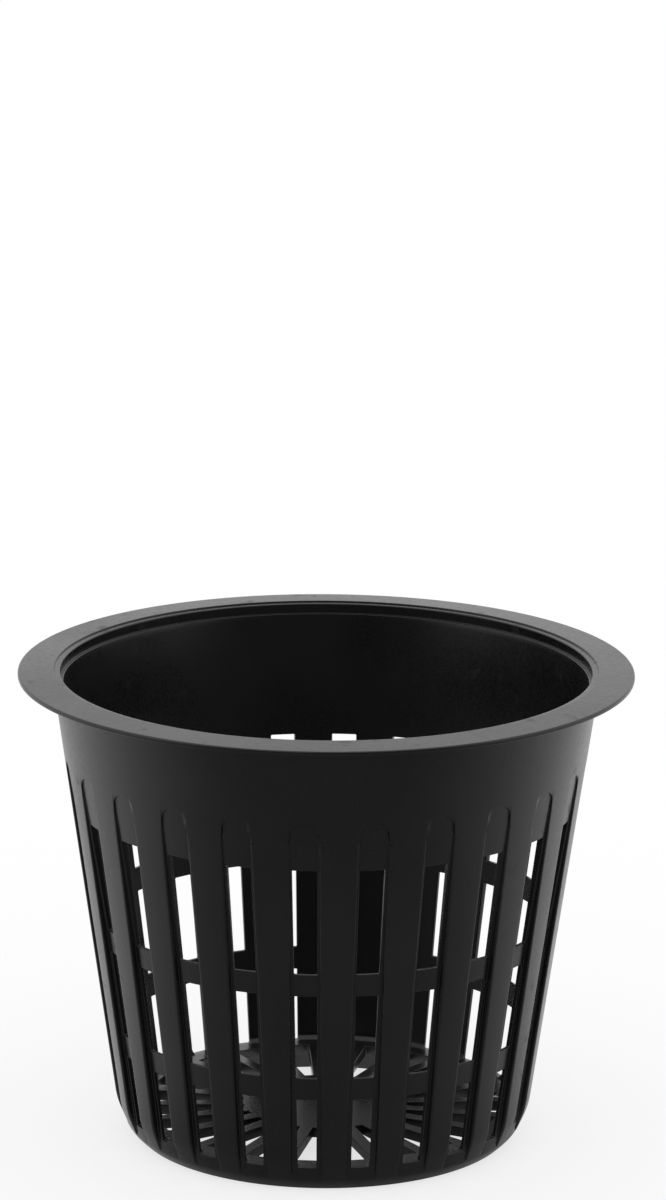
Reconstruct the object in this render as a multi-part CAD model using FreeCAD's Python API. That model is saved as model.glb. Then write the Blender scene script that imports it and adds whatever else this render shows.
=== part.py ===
import FreeCAD, Part
import math
import os

# Hydroponic net pot, injection moulded in one piece: a tapered cup with a wide thin flange
# that hangs on the edge of a round hole. The wall below its plain band is grooved from
# outside, which leaves upright ribs between the grooves, and three rows of windows open the
# grooves to the inside. The hoops left between the rows lie at the grooves' depth. The floor
# is a spoked grille, held off the ground by a foot ring.
# Millimetres, +Z up, origin at the centre of the foot plane.

# --- cup -----------------------------------------------------------------------------------
HEIGHT = 70.5                # foot plane to the flange's top face
BODY_TOP_DIAMETER = 80.2     # outside of the wall, carried up to the flange's top face
BODY_FOOT_DIAMETER = 60.0    # outside of the wall, carried down to the foot plane
WALL = 1.5                   # radial, over a rib

# --- flange and mouth ----------------------------------------------------------------------
FLANGE_WIDTH = 4.9           # past the wall, so the flange is 90 across
FLANGE_THICKNESS = 0.9       # at the mouth
FLANGE_FALL = 0.25           # how far the flange's top face falls from the mouth to its edge
FLANGE_EDGE_CHAMFER = 0.2
FLANGE_ROOT_CHAMFER = 0.4    # fills the corner between the flange's underside and the wall
COLLAR_WALL = 1.3            # upright collar inside the mouth, thinner than the wall below it
COLLAR_DEPTH = 1.45
LEDGE_WIDTH = 0.9            # narrow step around the mouth
LEDGE_DROP = 0.25

# --- grooves, ribs and windows ---------------------------------------------------------------
RIB_COUNT = 24
PLAIN_BAND = 12.6            # flange's top face to the crown of each groove's round head
GROOVE_WIDTH = 4.3
GROOVE_DEPTH_CROWN = 0.22    # below the ribs' face, at the crown
GROOVE_DEPTH_HOOP = 0.85     # the same at the top of the upper hoop
GROOVE_DEPTH_FOOT = 0.95     # the same at the foot plane
HEAD_HEIGHT = 7.4            # crown of a groove to the top of its first window
WINDOW_SIDE_TOP = 0.3        # groove floor left on each side of a window, at the first top
WINDOW_SIDE_FOOT = 0.8       # the same at the floor
HOOP_TOPS = (34.3, 18.0)     # upper edge of each hoop, over the foot plane
HOOP_HEIGHT = 3.4

# --- floor and foot --------------------------------------------------------------------------
FOOT_RECESS = 2.2            # foot plane up to the floor's underside
FLOOR_THICKNESS = 1.6
FLOOR_CORNER_CHAMFER = 0.6   # fills the corner between the floor and the wall
FOOT_TURN_HEIGHT = 5.0       # the wall starts to turn in at this height, in two steps
FOOT_KNEE_HEIGHT = 1.4       # height of the corner between the steps
FOOT_KNEE_INSET = 0.9        # how far that corner lies inside the wall's line at the foot plane
FOOT_INSET = 2.4             # the same for the foot's outer edge
FOOT_LAND = 0.9              # flat of the foot ring that touches the ground
HUB_DIAMETER = 24.0          # plain disc in the middle of the floor
SPOKE_WIDTH = 1.9
SLOT_CLEARANCE = 0.4         # the slots end this far inside the foot ring
GATE_DIAMETER = 2.4          # stub of the moulding gate under the hub
GATE_HEIGHT = 0.5

MARGIN = 2.0                 # how far a cutter runs past what it cuts

PITCH = 360.0 / RIB_COUNT
FIRST_RIB = -90.0            # azimuth of the rib that faces -Y
FIRST_GROOVE = FIRST_RIB + PITCH / 2
FLANGE_RADIUS = BODY_TOP_DIAMETER / 2 + FLANGE_WIDTH
GROOVE_TOP = HEIGHT - PLAIN_BAND
WINDOW_TOP = GROOVE_TOP - HEAD_HEIGHT
FLOOR_TOP = FOOT_RECESS + FLOOR_THICKNESS
FOOT_RING_OUTER_RADIUS = BODY_FOOT_DIAMETER / 2 - FOOT_INSET
FOOT_RING_INNER_RADIUS = FOOT_RING_OUTER_RADIUS - FOOT_LAND
SLOPE = (BODY_TOP_DIAMETER - BODY_FOOT_DIAMETER) / 2 / HEIGHT
AXIS = FreeCAD.Vector(0, 0, 1)
CENTRE = FreeCAD.Vector(0, 0, 0)


def outer_radius(z):
    return BODY_FOOT_DIAMETER / 2 + SLOPE * z


def inner_radius(z):
    return outer_radius(z) - WALL


def window_width(z):
    widening = (WINDOW_SIDE_FOOT - WINDOW_SIDE_TOP) / (WINDOW_TOP - FLOOR_TOP)
    return GROOVE_WIDTH - 2 * (WINDOW_SIDE_FOOT - widening * (z - FLOOR_TOP))


def chamfered(corners):
    """Points of a closed outline whose (r, z, cut) corners are cut back by their third value."""
    points = []
    for i, (r, z, cut) in enumerate(corners):
        corner = FreeCAD.Vector(r, 0, z)
        if cut == 0:
            points.append(corner)
            continue
        for r_next, z_next, _ in (corners[i - 1], corners[(i + 1) % len(corners)]):
            along = FreeCAD.Vector(r_next, 0, z_next) - corner
            points.append(corner + along.normalize() * cut)
    return points


def closed_face(points):
    return Part.Face(Part.makePolygon(points + points[:1]))


def cup():
    """The whole pot turned about its axis, before anything is cut through it."""
    flange_under = HEIGHT - FLANGE_THICKNESS
    mouth_radius = BODY_TOP_DIAMETER / 2 - COLLAR_WALL
    ledge_radius = mouth_radius + LEDGE_WIDTH
    ledge_z = HEIGHT - LEDGE_DROP
    shoulder_z = ledge_z - COLLAR_DEPTH
    profile = [
        (0, FOOT_RECESS, 0),
        (FOOT_RING_INNER_RADIUS, FOOT_RECESS, 0),
        (FOOT_RING_INNER_RADIUS, 0, 0),
        (FOOT_RING_OUTER_RADIUS, 0, 0),
        (outer_radius(0) - FOOT_KNEE_INSET, FOOT_KNEE_HEIGHT, 0),
        (outer_radius(FOOT_TURN_HEIGHT), FOOT_TURN_HEIGHT, 0),
        (outer_radius(flange_under), flange_under, FLANGE_ROOT_CHAMFER),
        (FLANGE_RADIUS, flange_under, FLANGE_EDGE_CHAMFER),
        (FLANGE_RADIUS, HEIGHT - FLANGE_FALL, FLANGE_EDGE_CHAMFER),
        (ledge_radius, HEIGHT, 0),
        (ledge_radius, ledge_z, 0),
        (mouth_radius, ledge_z, 0),
        (mouth_radius, shoulder_z, 0),
        (inner_radius(shoulder_z), shoulder_z, 0),
        (inner_radius(FLOOR_TOP), FLOOR_TOP, FLOOR_CORNER_CHAMFER),
        (0, FLOOR_TOP, 0),
    ]
    return closed_face(chamfered(profile)).revolve(CENTRE, AXIS, 360)


def around(shape, azimuth):
    copy = shape.copy()
    copy.rotate(CENTRE, AXIS, azimuth)
    return copy


def outward_prism(face):
    """Prism along +X from near the axis out past the flange, over a face in the plane x = 0."""
    prism = face.extrude(FreeCAD.Vector(FLANGE_RADIUS, 0, 0))
    prism.translate(FreeCAD.Vector(BODY_FOOT_DIAMETER / 4, 0, 0))
    return prism


def groove_core():
    """Solid of revolution inside the grooves' floor, which the grooves are cut down to."""
    foot_r, foot_z = outer_radius(0) - GROOVE_DEPTH_FOOT, 0
    hoop_r, hoop_z = outer_radius(HOOP_TOPS[0]) - GROOVE_DEPTH_HOOP, HOOP_TOPS[0]
    crown_r, crown_z = outer_radius(GROOVE_TOP) - GROOVE_DEPTH_CROWN, GROOVE_TOP
    low, high = foot_z - 2 * MARGIN, crown_z + 2 * MARGIN
    low_r = foot_r + (low - foot_z) * (hoop_r - foot_r) / (hoop_z - foot_z)
    high_r = crown_r + (high - crown_z) * (crown_r - hoop_r) / (crown_z - hoop_z)
    profile = [(0, low), (low_r, low), (hoop_r, hoop_z), (high_r, high), (0, high)]
    return closed_face([FreeCAD.Vector(r, 0, z) for r, z in profile]).revolve(CENTRE, AXIS, 360)


def groove_cutter():
    """Parallel-sided groove with a round head, open at the foot, down to the grooves' floor."""
    half = GROOVE_WIDTH / 2
    left_foot = FreeCAD.Vector(0, -half, -MARGIN)
    left_head = FreeCAD.Vector(0, -half, GROOVE_TOP - half)
    crown = FreeCAD.Vector(0, 0, GROOVE_TOP)
    right_head = FreeCAD.Vector(0, half, GROOVE_TOP - half)
    right_foot = FreeCAD.Vector(0, half, -MARGIN)
    outline = Part.Wire([
        Part.LineSegment(left_foot, left_head).toShape(),
        Part.Arc(left_head, crown, right_head).toShape(),
        Part.LineSegment(right_head, right_foot).toShape(),
        Part.LineSegment(right_foot, left_foot).toShape(),
    ])
    # Half a turn takes the core's seam out of the groove.
    return outward_prism(Part.Face(outline)).cut(around(groove_core(), 180))


def window_rows():
    """(bottom, top) of each row of windows, from the highest row down."""
    tops = [WINDOW_TOP] + [top - HOOP_HEIGHT for top in HOOP_TOPS]
    bottoms = list(HOOP_TOPS) + [FLOOR_TOP]
    return list(zip(bottoms, tops))


def window_cutter(bottom, top):
    low, high = window_width(bottom) / 2, window_width(top) / 2
    corners = [(-low, bottom), (low, bottom), (high, top), (-high, top)]
    return outward_prism(closed_face([FreeCAD.Vector(0, y, z) for y, z in corners]))


def floor_slot_cutter():
    """Slot through the floor around the +X axis, with sides parallel to its two spokes."""
    half_pitch = math.radians(PITCH / 2)

    def corner(radius):
        """Where the spoke's side crosses this radius."""
        angle = half_pitch - math.asin(SPOKE_WIDTH / 2 / radius)
        return radius * math.cos(angle), radius * math.sin(angle)

    near_x, near_y = corner(HUB_DIAMETER / 2)
    far_x, far_y = corner(FOOT_RING_INNER_RADIUS - SLOT_CLEARANCE)
    corners = [(near_x, -near_y), (far_x, -far_y), (far_x, far_y), (near_x, near_y)]
    low = FOOT_RECESS - MARGIN
    outline = closed_face([FreeCAD.Vector(x, y, low) for x, y in corners])
    return outline.extrude(FreeCAD.Vector(0, 0, FLOOR_THICKNESS + 2 * MARGIN))


def gate():
    """Stub of the moulding gate, rooted in the middle of the floor."""
    stub_bottom = FreeCAD.Vector(0, 0, FOOT_RECESS - GATE_HEIGHT)
    return Part.makeCylinder(GATE_DIAMETER / 2, GATE_HEIGHT + FLOOR_THICKNESS / 2, stub_bottom)


def net_pot():
    azimuths = [FIRST_GROOVE + PITCH * i for i in range(RIB_COUNT)]
    windows = [window_cutter(bottom, top) for bottom, top in window_rows()]
    pot = cup()
    for cutter in [groove_cutter(), *windows, floor_slot_cutter()]:
        pot = pot.cut([around(cutter, azimuth) for azimuth in azimuths])
    return pot.fuse(gate())


os.makedirs("parts", exist_ok=True)
pot = net_pot()
print("net_pot: solids", len(pot.Solids), "valid", pot.isValid(), "volume", round(pot.Volume, 1))
pot.exportStep("parts/net_pot.step")
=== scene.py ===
import math

import bmesh
import bpy
from mathutils import Matrix, Vector


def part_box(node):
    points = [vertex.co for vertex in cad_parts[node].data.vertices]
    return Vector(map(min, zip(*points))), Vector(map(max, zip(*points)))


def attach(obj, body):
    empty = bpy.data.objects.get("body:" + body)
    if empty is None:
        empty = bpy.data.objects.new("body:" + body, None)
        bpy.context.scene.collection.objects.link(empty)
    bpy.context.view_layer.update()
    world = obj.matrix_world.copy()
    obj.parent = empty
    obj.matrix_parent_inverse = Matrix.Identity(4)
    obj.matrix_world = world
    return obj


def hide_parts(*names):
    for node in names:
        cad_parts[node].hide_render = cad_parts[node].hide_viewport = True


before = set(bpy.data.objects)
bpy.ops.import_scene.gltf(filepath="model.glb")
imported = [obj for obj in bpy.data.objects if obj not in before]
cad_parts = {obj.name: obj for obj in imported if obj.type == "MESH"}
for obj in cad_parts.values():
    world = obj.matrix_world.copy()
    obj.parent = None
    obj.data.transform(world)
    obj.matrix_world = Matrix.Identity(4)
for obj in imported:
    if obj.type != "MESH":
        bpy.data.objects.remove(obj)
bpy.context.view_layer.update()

low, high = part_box("net_pot")
MM = 0.001


# --- camera -----------------------------------------------------------------------------------
# It stands a little to the left of the rib that faces -Y, and looks down on the pot.
CAMERA_YAW = math.radians(-3.1)
CAMERA_PITCH = math.radians(14.16)
CAMERA_ROLL = math.radians(0.41)
CAMERA_DISTANCE = 816 * MM
CAMERA_ABOVE_RIM = 216 * MM
CAMERA_ASIDE = 0.9 * MM
LENS = 173.5                 # in millimetres, as is the height of the frame that it is given for
FRAME_HEIGHT = 36
FAR_CLIP = 20


def add_camera():
    data = bpy.data.cameras.new("camera")
    data.sensor_fit = "VERTICAL"
    data.sensor_height = FRAME_HEIGHT
    data.lens = LENS
    data.clip_end = FAR_CLIP
    camera = bpy.data.objects.new("camera", data)
    bpy.context.scene.collection.objects.link(camera)
    forward = Vector((0, math.cos(CAMERA_PITCH), -math.sin(CAMERA_PITCH)))
    level_up = Vector((0, math.sin(CAMERA_PITCH), math.cos(CAMERA_PITCH)))
    level_right = Vector((1, 0, 0))
    right = level_right * math.cos(CAMERA_ROLL) + level_up * math.sin(CAMERA_ROLL)
    up = level_up * math.cos(CAMERA_ROLL) - level_right * math.sin(CAMERA_ROLL)
    place = Matrix((right, up, -forward)).transposed().to_4x4()
    place.translation = Vector((CAMERA_ASIDE, -CAMERA_DISTANCE, high.z + CAMERA_ABOVE_RIM))
    camera.matrix_world = Matrix.Rotation(CAMERA_YAW, 4, "Z") @ place
    bpy.context.scene.camera = camera


# --- nodes ------------------------------------------------------------------------------------
def new_material(name):
    material = bpy.data.materials.new(name)
    material.use_nodes = True
    material.node_tree.nodes.clear()
    return material, material.node_tree


def add_node(tree, kind, **settings):
    node = tree.nodes.new(kind)
    for key, value in settings.items():
        setattr(node, key, value)
    return node


def set_input(tree, socket, value):
    """Give a socket a number, or link to it what another node puts out."""
    if isinstance(value, (int, float)):
        socket.default_value = value
    else:
        tree.links.new(value, socket)


def add_math(tree, operation, a, b):
    node = add_node(tree, "ShaderNodeMath", operation=operation)
    set_input(tree, node.inputs[0], a)
    set_input(tree, node.inputs[1], b)
    return node.outputs[0]


def add_noise(tree, place, scale, detail):
    noise = add_node(tree, "ShaderNodeTexNoise")
    noise.inputs["Scale"].default_value = scale
    noise.inputs["Detail"].default_value = detail
    tree.links.new(place, noise.inputs["Vector"])
    return noise.outputs["Fac"]


def add_range(tree, value, ends, results):
    """Smooth rise from the first result to the second, while the value goes from end to end."""
    spread = add_node(tree, "ShaderNodeMapRange", interpolation_type="SMOOTHSTEP")
    names = ("From Min", "From Max", "To Min", "To Max")
    for name, number in zip(names, (*ends, *results)):
        spread.inputs[name].default_value = number
    tree.links.new(value, spread.inputs["Value"])
    return spread.outputs["Result"]


# --- pot's shape, in millimetres ----------------------------------------------------------------
# The CAD solid's shape with its moulded roundings: smooth foot, eased rib, window and rim edges.
HEIGHT = (high.z - low.z) / MM
FLANGE_RADIUS = high.x / MM
TOP_RADIUS = 40.1            # outside of the wall, carried up to the top
FOOT_RADIUS = 30.0           # the same carried down to the foot plane
WALL = 1.5
FLANGE_THICKNESS = 0.9
FLANGE_FALL = 0.25
MOUTH_RADIUS = 38.8
LEDGE_WIDTH = 0.9
LEDGE_DROP = 0.25
COLLAR_DEPTH = 1.45

RIBS = 24
HALF_PITCH = math.pi / RIBS
PLAIN_BAND = 12.6
GROOVE_HALF = 2.15           # half a groove's width
HEAD_HEIGHT = 7.4            # crown of a groove to the top of its first window
HOOP_TOPS = (34.3, 18.0)
HOOP_HEIGHT = 3.4
FLOOR_TOP = 3.8
GROOVE_TOP = HEIGHT - PLAIN_BAND
WINDOW_TOP = GROOVE_TOP - HEAD_HEIGHT
# (height, depth below the ribs) and (height, groove floor left on each side of a window)
GROOVE_DEPTHS = ((GROOVE_TOP, 0.22), (HOOP_TOPS[0], 0.85), (0.0, 0.95))
WINDOW_SIDES = ((WINDOW_TOP, 0.3), (FLOOR_TOP, 0.8))

FLOOR_UNDER = 2.2
FLOOR_CORNER = 0.6           # fills the corner between the floor and the wall
FOOT_OUTLINE = ((27.6, 0.0), (29.1, 1.4), (30.716, 5.0))     # (radius, height) up the turned foot
FOOT_EASE = 0.45             # how softly its corners are rounded
RECESS_RADIUS = 26.7
SLOT_RADII = (26.3, 12.0)
SPOKE_WIDTH = 1.9
GATE_RADIUS = 1.2
GATE_HEIGHT = 0.5

RIB_EDGE = 0.38              # widest rounding, on the ribs' long edges
WINDOW_EDGE = 0.14
MAX_SHARE = 0.42             # of a step's height that one rounding may take
EDGE_SEGMENTS = 3            # faces across one rounding

# Columns of faces in the half pitch from a groove's middle to a rib's middle.
WINDOW_COLUMNS = 4
GROOVE_COLUMNS = 6           # the window's and those beside it
RIB_COLUMNS = 4
COLUMNS = GROOVE_COLUMNS + RIB_COLUMNS

# Rows of faces: the shares of each surface's way at which they lie, and heights of a few more
# where the turned foot runs out into the wall.
HEAD_ROWS = (0, 0.4, 0.75, 1)
BAND_ROWS = (0, 0.12, 0.3, 0.6, 1)
INNER_ROWS = (0, 0.2, 0.5, 1)
FOOT_ROWS = (0, 0.15, 0.35, 0.55, 0.78, 1)
LOW_LEVELS = (5.2, 6.2, 7.4)
MERGE_DISTANCE = 1e-4

ARCH_CENTRE = GROOVE_TOP - GROOVE_HALF
SHOULDER = HEIGHT - LEDGE_DROP - COLLAR_DEPTH
# The rim's outline starts a little below the flange outside, and ends below the collar inside.
BAND_TOP = HEIGHT - FLANGE_THICKNESS - 1.2
INNER_TOP = SHOULDER - 0.8
WINDOWS = ((HOOP_TOPS[0], WINDOW_TOP),
           (HOOP_TOPS[1], HOOP_TOPS[0] - HOOP_HEIGHT),
           (FLOOR_TOP, HOOP_TOPS[1] - HOOP_HEIGHT))


def along(points, at):
    """Straight-line value at a place, from (place, value) points that fall in place."""
    pairs = list(zip(points, points[1:]))
    (a, value_a), (b, value_b) = next((pair for pair in pairs if at >= pair[1][0]), pairs[-1])
    return value_a + (value_b - value_a) * (at - a) / (b - a)


def wall_radius(z):
    return FOOT_RADIUS + (TOP_RADIUS - FOOT_RADIUS) * z / HEIGHT


def soft_min(a, b):
    overlap = max(FOOT_EASE - abs(a - b), 0)
    return min(a, b) - overlap ** 2 / (4 * FOOT_EASE)


def rib_radius(z):
    """Outside of the pot over a rib: the wall's cone, turned in at the foot."""
    radius = wall_radius(z)
    for (r0, z0), (r1, z1) in zip(FOOT_OUTLINE, FOOT_OUTLINE[1:]):
        radius = soft_min(radius, r0 + (r1 - r0) * (z - z0) / (z1 - z0))
    return radius


def groove_radius(z):
    return wall_radius(z) - along(GROOVE_DEPTHS, z)


def groove_depth(z):
    return rib_radius(z) - groove_radius(z)


def groove_end():
    """Height at which the grooves run out of the turned foot."""
    lower, upper = 0, FLOOR_TOP
    for _ in range(40):
        middle = (lower + upper) / 2
        lower, upper = (middle, upper) if groove_depth(middle) < 0 else (lower, middle)
    return upper


def inner_radius(z):
    """Inside of the wall, with the corner that fills its foot."""
    radius = wall_radius(z) - WALL
    return radius - max(0, FLOOR_CORNER - (z - FLOOR_TOP))


def window_half(z):
    return GROOVE_HALF - along(WINDOW_SIDES, z)


GROOVE_END = groove_end()
LEVELS = (GROOVE_END, (GROOVE_END + FLOOR_TOP) / 2, FLOOR_TOP, FLOOR_TOP + FLOOR_CORNER,
          *LOW_LEVELS, HOOP_TOPS[1] - HOOP_HEIGHT, HOOP_TOPS[1],
          HOOP_TOPS[0] - HOOP_HEIGHT, HOOP_TOPS[0], WINDOW_TOP)


# Points lie around the +X axis, which is the middle of a groove.
def beside(radius, y, z):
    return Vector((math.sqrt(radius ** 2 - y ** 2), y, z))


def at_angle(radius, angle, z):
    return Vector((radius * math.cos(angle), radius * math.sin(angle), z))


def arc_row(radius, z, start, columns):
    """Points from an angle to the rib's middle."""
    step = (HALF_PITCH - start) / columns
    return [at_angle(radius, start + step * i, z) for i in range(columns + 1)]


def even_row(radius, z):
    return arc_row(radius, z, 0, COLUMNS)


def groove_row(z):
    """Across the groove's floor, from its middle past the window's edge to its side."""
    edge = window_half(z)
    beside_window = GROOVE_COLUMNS - WINDOW_COLUMNS
    across = [edge * i / WINDOW_COLUMNS for i in range(WINDOW_COLUMNS)]
    across += [edge + (GROOVE_HALF - edge) * i / beside_window for i in range(beside_window + 1)]
    return [beside(groove_radius(z), y, z) for y in across]


def rib_row(z):
    radius = rib_radius(z)
    return arc_row(radius, z, math.asin(GROOVE_HALF / radius), RIB_COLUMNS)


def inner_row(z):
    """Across the inner wall, from the groove's middle past the window's edge to the rib's middle."""
    radius, edge = inner_radius(z), window_half(z)
    across = [beside(radius, edge * i / WINDOW_COLUMNS, z) for i in range(WINDOW_COLUMNS)]
    return across + arc_row(radius, z, math.asin(edge / radius), COLUMNS - WINDOW_COLUMNS)


def slot_row(radius, z):
    """Across a floor slot's straight end, then across half the spoke beside it."""
    side = HALF_PITCH - math.asin(SPOKE_WIDTH / 2 / radius)
    corner = at_angle(radius, side, z)
    across = [Vector((corner.x, corner.y * i / GROOVE_COLUMNS, z)) for i in range(GROOVE_COLUMNS)]
    return across + arc_row(radius, z, side, RIB_COLUMNS)


def blended_row(first, last, part, radius_at):
    """Part of the way from one row to another, on a surface of revolution."""
    row = []
    for a, b in zip(first, last):
        start, end = math.atan2(a.y, a.x), math.atan2(b.y, b.x)
        z = a.z + (b.z - a.z) * part
        row.append(at_angle(radius_at(z), start + (end - start) * part, z))
    return row


def rounded(corners, steps=4):
    """Outline of (radius, height) points, each corner eased over its third value."""
    points = []
    for i, (r, z, ease) in enumerate(corners):
        corner = Vector((r, z))
        if ease == 0:
            points.append(corner)
            continue
        start, end = (corner + (Vector(other[:2]) - corner).normalized() * ease
                      for other in (corners[i - 1], corners[i + 1]))
        for step in range(steps + 1):
            t = step / steps
            points.append(start * (1 - t) ** 2 + corner * 2 * t * (1 - t) + end * t ** 2)
    return points


class HalfPitch:
    """Faces of the pot between the middle of a groove and the middle of the rib beside it."""

    def __init__(self):
        self.mesh = bmesh.new()

    def face(self, points):
        self.mesh.faces.new([self.mesh.verts.new(point) for point in points])

    def strip(self, first, last):
        for i in range(len(first) - 1):
            self.face((first[i], first[i + 1], last[i + 1], last[i]))

    def strips(self, rows):
        for first, last in zip(rows, rows[1:]):
            self.strip(first, last)

    def side(self, lower, upper, rib_lower, rib_upper):
        """Step from the groove's floor up to the rib's face."""
        self.strip((lower[-1], rib_lower[0]), (upper[-1], rib_upper[0]))


def add_wall(half):
    for bottom, top in zip(LEVELS, LEVELS[1:]):
        window = any(a <= bottom and top <= b for a, b in WINDOWS)
        first = WINDOW_COLUMNS if window else 0
        grooves, ribs = (groove_row(bottom), groove_row(top)), (rib_row(bottom), rib_row(top))
        half.strip(grooves[0][first:], grooves[1][first:])
        half.strip(*ribs)
        half.side(*grooves, *ribs)
        if bottom < FLOOR_TOP:
            continue
        inners = inner_row(bottom), inner_row(top)
        half.strip(inners[0][first:], inners[1][first:])
        if window:
            half.strip((grooves[0][first], inners[0][first]), (grooves[1][first], inners[1][first]))
    for z in [level for window in WINDOWS for level in window]:
        half.strip(groove_row(z)[:WINDOW_COLUMNS + 1], inner_row(z)[:WINDOW_COLUMNS + 1])


def add_head_and_band(half):
    """Round head of the groove, the band above it and the inner wall behind them."""
    turns = [math.pi / 2 * i / GROOVE_COLUMNS for i in range(GROOVE_COLUMNS + 1)]
    arch = [(GROOVE_HALF * math.sin(turn), ARCH_CENTRE + GROOVE_HALF * math.cos(turn))
            for turn in turns]
    feet = [point.y for point in groove_row(WINDOW_TOP)]
    heads, ribs = [], []
    for part in HEAD_ROWS:
        row = []
        for foot, (y, z) in zip(feet, arch):
            height = WINDOW_TOP + (z - WINDOW_TOP) * part
            row.append(beside(groove_radius(height), foot + (y - foot) * part, height))
        heads.append(row)
        ribs.append(rib_row(WINDOW_TOP + (ARCH_CENTRE - WINDOW_TOP) * part))
    half.strips(heads)
    half.strips(ribs)
    for i in range(len(HEAD_ROWS) - 1):
        half.side(heads[i], heads[i + 1], ribs[i], ribs[i + 1])
    crown = [beside(rib_radius(z), y, z) for y, z in arch]
    half.strip(heads[-1], crown)
    band = [crown + ribs[-1][1:], even_row(wall_radius(BAND_TOP), BAND_TOP)]
    half.strips([blended_row(*band, part, wall_radius) for part in BAND_ROWS])
    inside = [inner_row(WINDOW_TOP), even_row(inner_radius(INNER_TOP), INNER_TOP)]
    half.strips([blended_row(*inside, part, inner_radius) for part in INNER_ROWS])


def add_rim(half):
    """Flange, step and collar, with each corner of their outline eased as the moulding's is."""
    under = HEIGHT - FLANGE_THICKNESS
    outline = rounded([
        (wall_radius(BAND_TOP), BAND_TOP, 0),
        (wall_radius(under), under, 0.45),
        (FLANGE_RADIUS, under, 0.16),
        (FLANGE_RADIUS, HEIGHT - FLANGE_FALL, 0.3),
        (MOUTH_RADIUS + LEDGE_WIDTH, HEIGHT, 0.16),
        (MOUTH_RADIUS + LEDGE_WIDTH, HEIGHT - LEDGE_DROP, 0.06),
        (MOUTH_RADIUS, HEIGHT - LEDGE_DROP, 0.22),
        (MOUTH_RADIUS, SHOULDER, 0.12),
        (inner_radius(SHOULDER), SHOULDER, 0.12),
        (inner_radius(INNER_TOP), INNER_TOP, 0),
    ])
    half.strips([even_row(r, z) for r, z in outline])


def add_floor_grille(half):
    ends = {z: [slot_row(radius, z) for radius in SLOT_RADII] for z in (FLOOR_TOP, FLOOR_UNDER)}
    half.strip(inner_row(FLOOR_TOP), ends[FLOOR_TOP][0])
    half.strip(even_row(RECESS_RADIUS, FLOOR_UNDER), ends[FLOOR_UNDER][0])
    for far, near in ends.values():
        half.strip(far[GROOVE_COLUMNS:], near[GROOVE_COLUMNS:])
    for above, below in zip(*ends.values()):
        half.strip(above[:GROOVE_COLUMNS + 1], below[:GROOVE_COLUMNS + 1])
    corners = [[row[GROOVE_COLUMNS] for row in rows] for rows in ends.values()]
    half.strip(*corners)
    half.face([Vector((0, 0, FLOOR_TOP))] + ends[FLOOR_TOP][1])
    gate = [at_angle(GATE_RADIUS, angle, FLOOR_UNDER) for angle in (0, HALF_PITCH)]
    tip = [point - Vector((0, 0, GATE_HEIGHT)) for point in gate]
    half.face([gate[0]] + ends[FLOOR_UNDER][1] + [gate[1]])
    half.strip(gate, tip)
    half.face([Vector((0, 0, tip[0].z))] + tip)


def add_foot(half):
    half.strips([even_row(RECESS_RADIUS, FLOOR_UNDER), even_row(RECESS_RADIUS, 0)])
    ring = even_row(FOOT_OUTLINE[0][0], 0)
    half.strip(even_row(RECESS_RADIUS, 0), ring)
    last = groove_row(GROOVE_END) + rib_row(GROOVE_END)[1:]
    half.strips([blended_row(ring, last, part, rib_radius) for part in FOOT_ROWS])


# How edges are told apart: the turn under which one stays as it is, the share of a groove's
# depth over which one belongs to the rib's face, and how far off its line each kind may lie.
SHARP_TURN = math.radians(25)
RIB_FACE_SHARE = 0.6
END_SLACK = 0.01
GROOVE_SLACK = 0.05
WINDOW_SLACK = 0.1


def rounding(edge):
    """Width to which an edge is rounded, by what it is an edge of."""
    if len(edge.link_faces) != 2 or edge.calc_face_angle() < SHARP_TURN:
        return 0
    if min(vert.co.z for vert in edge.verts) < GROOVE_END + END_SLACK:
        return WINDOW_EDGE if edge.verts[0].co.z == edge.verts[1].co.z else 0
    middle = (edge.verts[0].co + edge.verts[1].co) / 2
    if middle.z > BAND_TOP:
        return 0
    radius = math.hypot(middle.x, middle.y)
    turn = math.atan2(middle.y, middle.x) % (2 * HALF_PITCH)
    aside = radius * math.sin(min(turn, 2 * HALF_PITCH - turn))
    depth = groove_depth(middle.z)
    if radius > groove_radius(middle.z) + RIB_FACE_SHARE * depth:
        return min(RIB_EDGE, MAX_SHARE * depth)
    in_groove = radius > groove_radius(middle.z) - GROOVE_SLACK
    over_windows = middle.z > WINDOW_TOP + WINDOW_SLACK
    beside_window = aside > window_half(middle.z) + WINDOW_SLACK
    if in_groove and (over_windows or beside_window):
        return min(WINDOW_EDGE, MAX_SHARE / 2 * depth)
    return WINDOW_EDGE


def pot_mesh():
    """Half a pitch, mirrored to a whole one and repeated around the axis."""
    half = HalfPitch()
    for add in (add_wall, add_head_and_band, add_rim, add_floor_grille, add_foot):
        add(half)
    whole = half.mesh
    bmesh.ops.remove_doubles(whole, verts=whole.verts, dist=MERGE_DISTANCE)
    built = whole.verts[:] + whole.edges[:] + whole.faces[:]
    copied = bmesh.ops.duplicate(whole, geom=built)["geom"]
    mirrored = [item for item in copied if isinstance(item, bmesh.types.BMVert)]
    bmesh.ops.scale(whole, vec=(1, -1, 1), verts=mirrored)
    pitch = whole.verts[:] + whole.edges[:] + whole.faces[:]
    bmesh.ops.spin(whole, geom=pitch, cent=(0, 0, 0), axis=(0, 0, 1), dvec=(0, 0, 0),
                   angle=2 * math.pi * (RIBS - 1) / RIBS, steps=RIBS - 1, use_duplicate=True)
    bmesh.ops.remove_doubles(whole, verts=whole.verts, dist=MERGE_DISTANCE)
    bmesh.ops.recalc_face_normals(whole, faces=whole.faces)
    return whole


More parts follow.
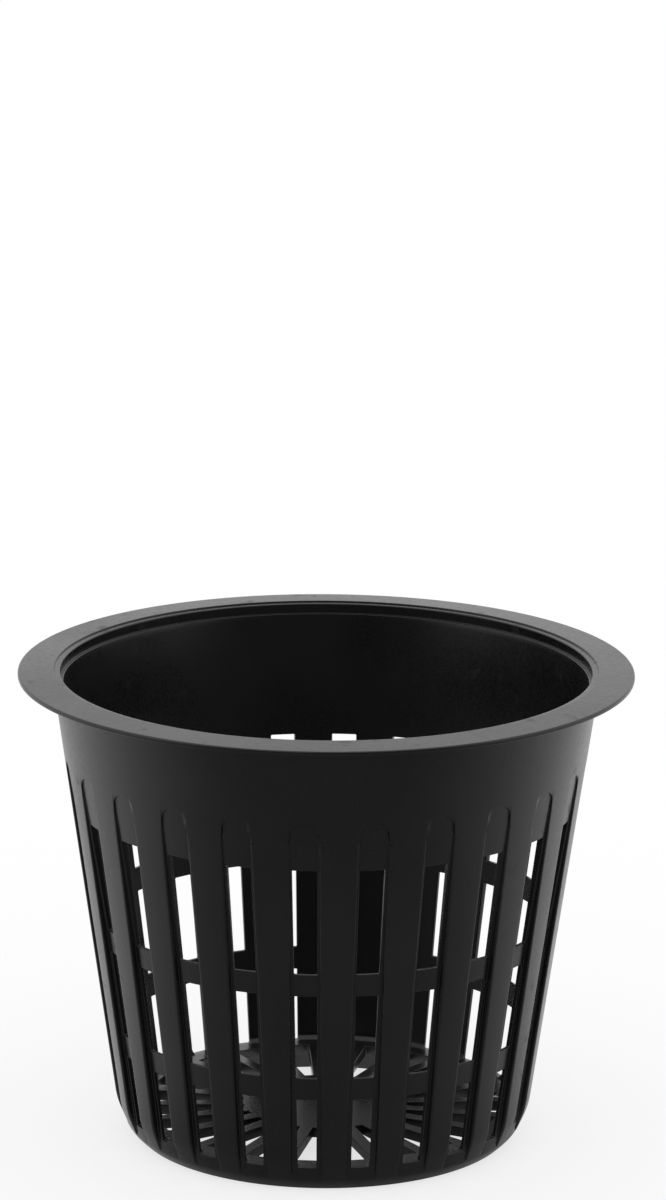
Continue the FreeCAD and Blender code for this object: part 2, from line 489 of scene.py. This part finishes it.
def dress_mesh(whole):
    """Turn the built faces into the object that stands for the CAD node, edges rounded."""
    weight = whole.edges.layers.float.new("bevel_weight_edge")
    for edge in whole.edges:
        edge[weight] = min(1, rounding(edge) / RIB_EDGE)
    for face in whole.faces:
        face.smooth = True
    rib_to_front = Matrix.Rotation(HALF_PITCH, 4, "Z")
    bmesh.ops.transform(whole, matrix=rib_to_front @ Matrix.Scale(MM, 4), verts=whole.verts)
    data = bpy.data.meshes.new("net_pot_moulding")
    whole.to_mesh(data)
    whole.free()
    pot = bpy.data.objects.new("net_pot_moulding", data)
    bpy.context.scene.collection.objects.link(pot)
    bevel = pot.modifiers.new("edges", "BEVEL")
    bevel.width = RIB_EDGE * MM
    bevel.segments = EDGE_SEGMENTS
    bevel.limit_method = "WEIGHT"
    bevel.use_clamp_overlap = False
    bevel.miter_outer = "MITER_ARC"
    weighted = pot.modifiers.new("normals", "WEIGHTED_NORMAL")
    weighted.keep_sharp = False
    return pot


# --- pot's material ---------------------------------------------------------------------------
IOR = 1.49
DARK_TINT = (0.0055, 0.0054, 0.0062, 1)
LIGHT_TINT = (0.0095, 0.0093, 0.0104, 1)
SATIN = (0.27, 0.33)         # roughness from one side of the flow marks to the other
SPECKLE = 0.025              # what the grain adds to it or takes off
SCUFF_DULLNESS = 0.12        # what a scuff adds to it
FLOW_SCALE = 45              # of each noise, per metre
GRAIN_SCALE = 1600
SCUFF_SCALE = 260
NOISE_ENDS = (0.3, 0.7)      # a noise is mostly between these
SCUFF_ENDS = (0.62, 0.72)    # so only its peaks leave a scuff
GRAIN_BUMP = 0.25
GRAIN_HEIGHT = 0.01 * MM


def pot_material():
    """Black moulded polypropylene: satin, with faint flow marks, fine grain and dull scuffs."""
    material, tree = new_material("black_polypropylene")
    output = add_node(tree, "ShaderNodeOutputMaterial")
    shader = add_node(tree, "ShaderNodeBsdfPrincipled")
    shader.inputs["IOR"].default_value = IOR
    place = add_node(tree, "ShaderNodeTexCoord").outputs["Object"]
    flow = add_noise(tree, place, FLOW_SCALE, detail=3)
    grain = add_noise(tree, place, GRAIN_SCALE, detail=2)
    scuffs = add_noise(tree, place, SCUFF_SCALE, detail=5)

    tint = add_node(tree, "ShaderNodeMix", data_type="RGBA")
    tint.inputs["A"].default_value = DARK_TINT
    tint.inputs["B"].default_value = LIGHT_TINT
    tree.links.new(add_range(tree, flow, NOISE_ENDS, (0, 1)), tint.inputs["Factor"])
    tree.links.new(tint.outputs["Result"], shader.inputs["Base Color"])

    satin = add_range(tree, flow, NOISE_ENDS, SATIN)
    speckle = add_range(tree, grain, NOISE_ENDS, (-SPECKLE, SPECKLE))
    dullness = add_range(tree, scuffs, SCUFF_ENDS, (0, SCUFF_DULLNESS))
    roughness = add_math(tree, "ADD", add_math(tree, "ADD", satin, speckle), dullness)
    tree.links.new(roughness, shader.inputs["Roughness"])

    bump = add_node(tree, "ShaderNodeBump")
    bump.inputs["Strength"].default_value = GRAIN_BUMP
    bump.inputs["Distance"].default_value = GRAIN_HEIGHT
    tree.links.new(grain, bump.inputs["Height"])
    tree.links.new(bump.outputs["Normal"], shader.inputs["Normal"])
    tree.links.new(shader.outputs["BSDF"], output.inputs["Surface"])
    return material


def add_pot():
    pot = dress_mesh(pot_mesh())
    pot.data.materials.append(pot_material())
    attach(pot, "root")
    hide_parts("net_pot")


# --- stage ------------------------------------------------------------------------------------
# A white sweep lies behind the pot and at its sides. The room in front of it, behind the camera,
# is dark, as the reflections in the pot's front show. A room is its brightness in front, as
# gloss finds it, and the y of the two directions between which that rises to the sweep's white.
ROOM_AIR = (0.04, -0.80, -0.35)
# The floor's room is painted shade: in gloss the floor glows darker in front than at the sides and
# behind, where less light falls on it.
FLOOR_PAINTED_SHADE = (0.20, -1.0, 0.55)
LIGHT_LEVEL = 0.85           # what the sky gives to matt surfaces
FLOOR_SIZE = 12
FLOOR_GREY = 0.8             # what the floor sends back of the light on it
SHADOW_SHARE = 0.42          # how much the camera sees of that, the rest being the floor's own white


def add_room_level(tree, direction, room):
    """Brightness that gloss finds in a direction: dark in front, white at the sides and behind.
    Given the floor's place, it is painted shade on the floor's glow.
    """
    unit = add_node(tree, "ShaderNodeVectorMath", operation="NORMALIZE")
    parts = add_node(tree, "ShaderNodeSeparateXYZ")
    tree.links.new(direction, unit.inputs[0])
    tree.links.new(unit.outputs[0], parts.inputs[0])
    front_level, start, end = room
    return add_range(tree, parts.outputs["Y"], (start, end), (front_level, 1))


def add_choice(tree, ray, yes, no):
    """One brightness for a kind of ray, and another for the rest."""
    mix = add_node(tree, "ShaderNodeMix", data_type="FLOAT")
    tree.links.new(ray, mix.inputs["Factor"])
    set_input(tree, mix.inputs["A"], no)
    set_input(tree, mix.inputs["B"], yes)
    return mix.outputs["Result"]


def add_world():
    world = bpy.data.worlds.new("studio")
    bpy.context.scene.world = world
    world.use_nodes = True
    tree = world.node_tree
    tree.nodes.clear()
    output = add_node(tree, "ShaderNodeOutputWorld")
    background = add_node(tree, "ShaderNodeBackground")
    ray = add_node(tree, "ShaderNodeLightPath").outputs
    direction = add_node(tree, "ShaderNodeTexCoord").outputs["Generated"]
    room = add_room_level(tree, direction, ROOM_AIR)
    lit = add_choice(tree, ray["Is Glossy Ray"], room, LIGHT_LEVEL)
    seen = add_math(tree, "MAXIMUM", ray["Is Camera Ray"], ray["Is Transmission Ray"])
    tree.links.new(add_choice(tree, seen, 1.0, lit), background.inputs["Strength"])
    background.inputs["Color"].default_value = (1, 1, 1, 1)
    tree.links.new(background.outputs["Background"], output.inputs["Surface"])


def floor_material():
    """Pale floor: white to the camera but for the pot's soft shadow. In gloss it glows with painted
    shade, darker in front than at the sides and behind.
    """
    material, tree = new_material("floor")
    output = add_node(tree, "ShaderNodeOutputMaterial")
    diffuse = add_node(tree, "ShaderNodeBsdfDiffuse")
    diffuse.inputs["Color"].default_value = (FLOOR_GREY, FLOOR_GREY, FLOOR_GREY, 1)
    white = add_node(tree, "ShaderNodeEmission")
    white.inputs["Strength"].default_value = (
        (1 - SHADOW_SHARE * FLOOR_GREY * LIGHT_LEVEL) / (1 - SHADOW_SHARE))
    # Painted shade: the floor's glow in gloss, darker in front than at the sides and behind.
    gloss = add_node(tree, "ShaderNodeEmission")
    place = add_node(tree, "ShaderNodeNewGeometry").outputs["Position"]
    tree.links.new(add_room_level(tree, place, FLOOR_PAINTED_SHADE), gloss.inputs["Strength"])
    ray = add_node(tree, "ShaderNodeLightPath").outputs
    to_camera = add_node(tree, "ShaderNodeMixShader")
    own_white = add_math(tree, "MULTIPLY", ray["Is Camera Ray"], 1 - SHADOW_SHARE)
    tree.links.new(own_white, to_camera.inputs["Fac"])
    tree.links.new(diffuse.outputs[0], to_camera.inputs[1])
    tree.links.new(white.outputs[0], to_camera.inputs[2])
    in_gloss = add_node(tree, "ShaderNodeMixShader")
    tree.links.new(ray["Is Glossy Ray"], in_gloss.inputs["Fac"])
    tree.links.new(to_camera.outputs[0], in_gloss.inputs[1])
    tree.links.new(gloss.outputs[0], in_gloss.inputs[2])
    tree.links.new(in_gloss.outputs[0], output.inputs["Surface"])
    return material


def add_floor():
    bpy.ops.mesh.primitive_plane_add(size=FLOOR_SIZE, location=(0, 0, low.z))
    floor = bpy.context.object
    floor.name = "floor"
    floor.data.materials.append(floor_material())


bpy.context.scene.view_settings.view_transform = "Standard"
add_camera()
add_pot()
add_floor()
add_world()
